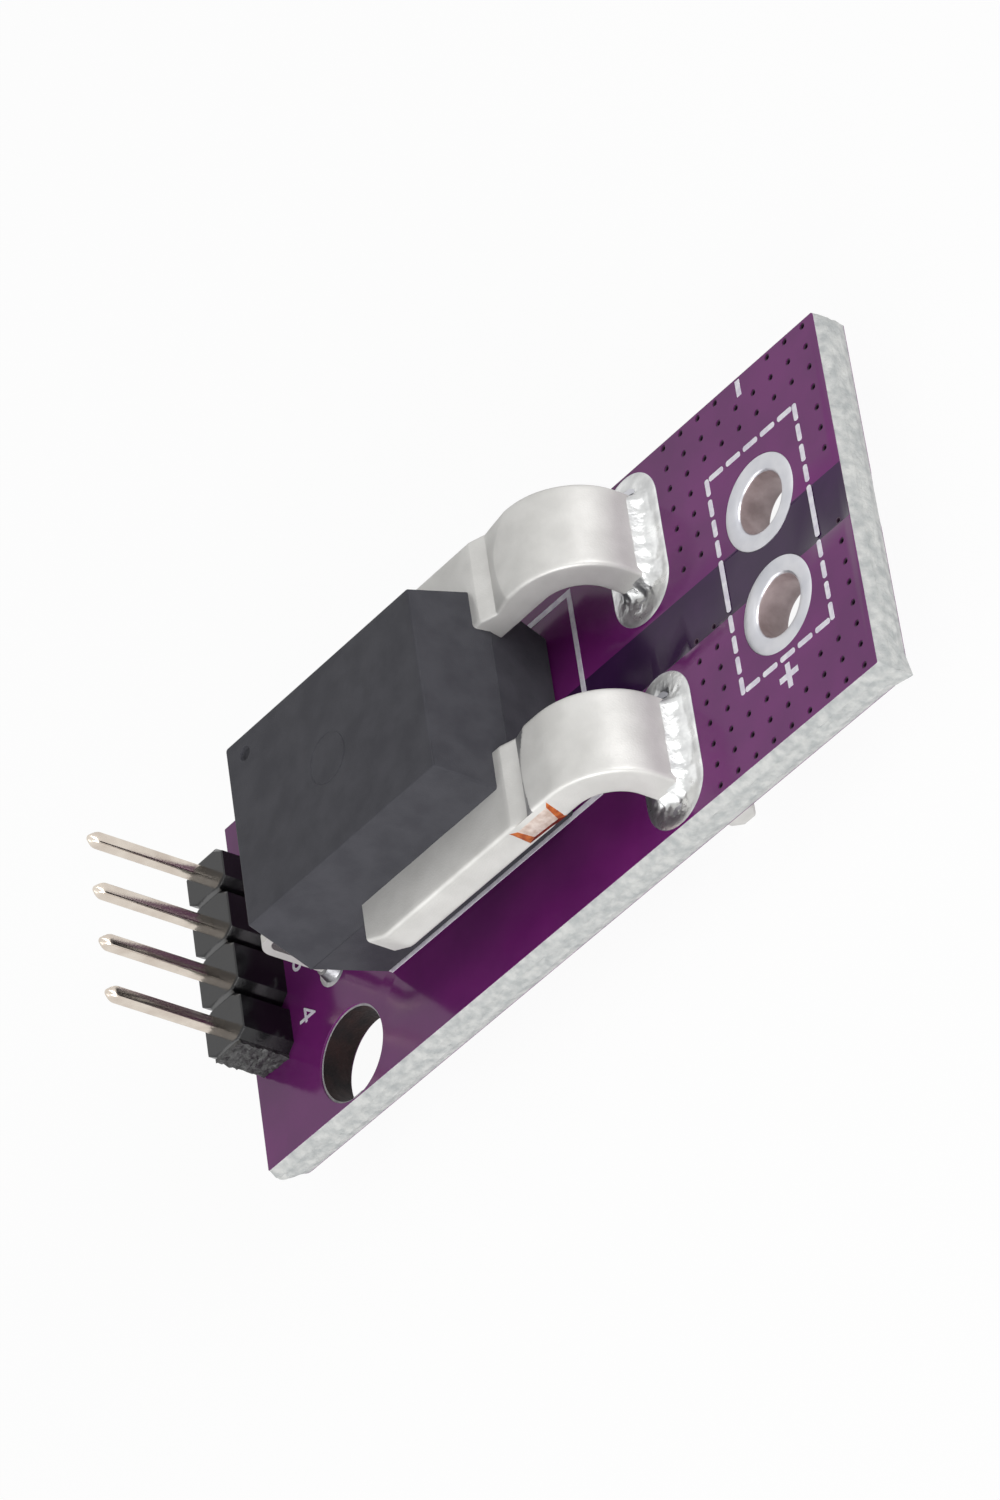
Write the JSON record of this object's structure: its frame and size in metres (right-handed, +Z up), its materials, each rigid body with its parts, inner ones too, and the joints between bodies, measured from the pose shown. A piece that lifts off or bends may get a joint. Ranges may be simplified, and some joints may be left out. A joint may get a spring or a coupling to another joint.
{
  "type": "hall effect current sensor",
  "caption": "Small circuit board with a moulded hall effect current sensor, a heavy copper bus through it, power holes and a pin header.",
  "frame": {"origin": "middle of the board in plan, level with the ends of the copper tails under the board", "axes": "+X along the board from the pin header to the power holes, +Z up out of the component side, +Y across the board"},
  "size_m": [0.0394, 0.0174, 0.012],
  "materials": {
    "laminate": "rough glass laminate, pale where it is snapped",
    "lacquer": "purple lacquer, glossy",
    "printed_copper": "bare printed copper",
    "plating": "levelled solder plating, satin",
    "tinned_copper": "matte tin plate over copper",
    "moulding": "black moulded epoxy, fine matte",
    "core_steel": "pressed magnetic steel",
    "silicon": "polished silicon",
    "gold": "drawn gold wire",
    "lead_metal": "tinned lead, bright",
    "solder": "bright solder",
    "header_plastic": "black moulded plastic, slightly glossy",
    "pin_metal": "plated brass pin, bright",
    "ink": "white printed ink"
  },
  "bodies": {
    "root": {"substrate": "laminate", "top_mask": "lacquer", "bottom_mask": "lacquer", "top_copper_near": "printed_copper", "top_copper_far": "printed_copper", "bottom_copper_near": "printed_copper", "bottom_copper_far": "printed_copper", "signal_tracks": "printed_copper", "power_hole_plating_1": "plating", "power_hole_plating_2": "plating", "slot_plating_1": "plating", "slot_plating_2": "plating", "lead_hole_plating": "plating", "pin_hole_plating": "plating", "copper_bus": "tinned_copper", "sensor_moulding": "moulding", "field_core": "core_steel", "hall_chip": "silicon", "bond_wires": "gold", "signal_lead_1": "lead_metal", "signal_lead_2": "lead_metal", "signal_lead_3": "lead_metal", "terminal_solder_1": "solder", "terminal_solder_2": "solder", "lead_solder": "solder", "pin_solder": "solder", "header_housing": "header_plastic", "header_pin_1": "pin_metal", "header_pin_2": "pin_metal", "header_pin_3": "pin_metal", "header_pin_4": "pin_metal", "printed_frame": "ink", "printed_outline": "ink", "printed_signs": "ink"}
  },
  "joints": []
}
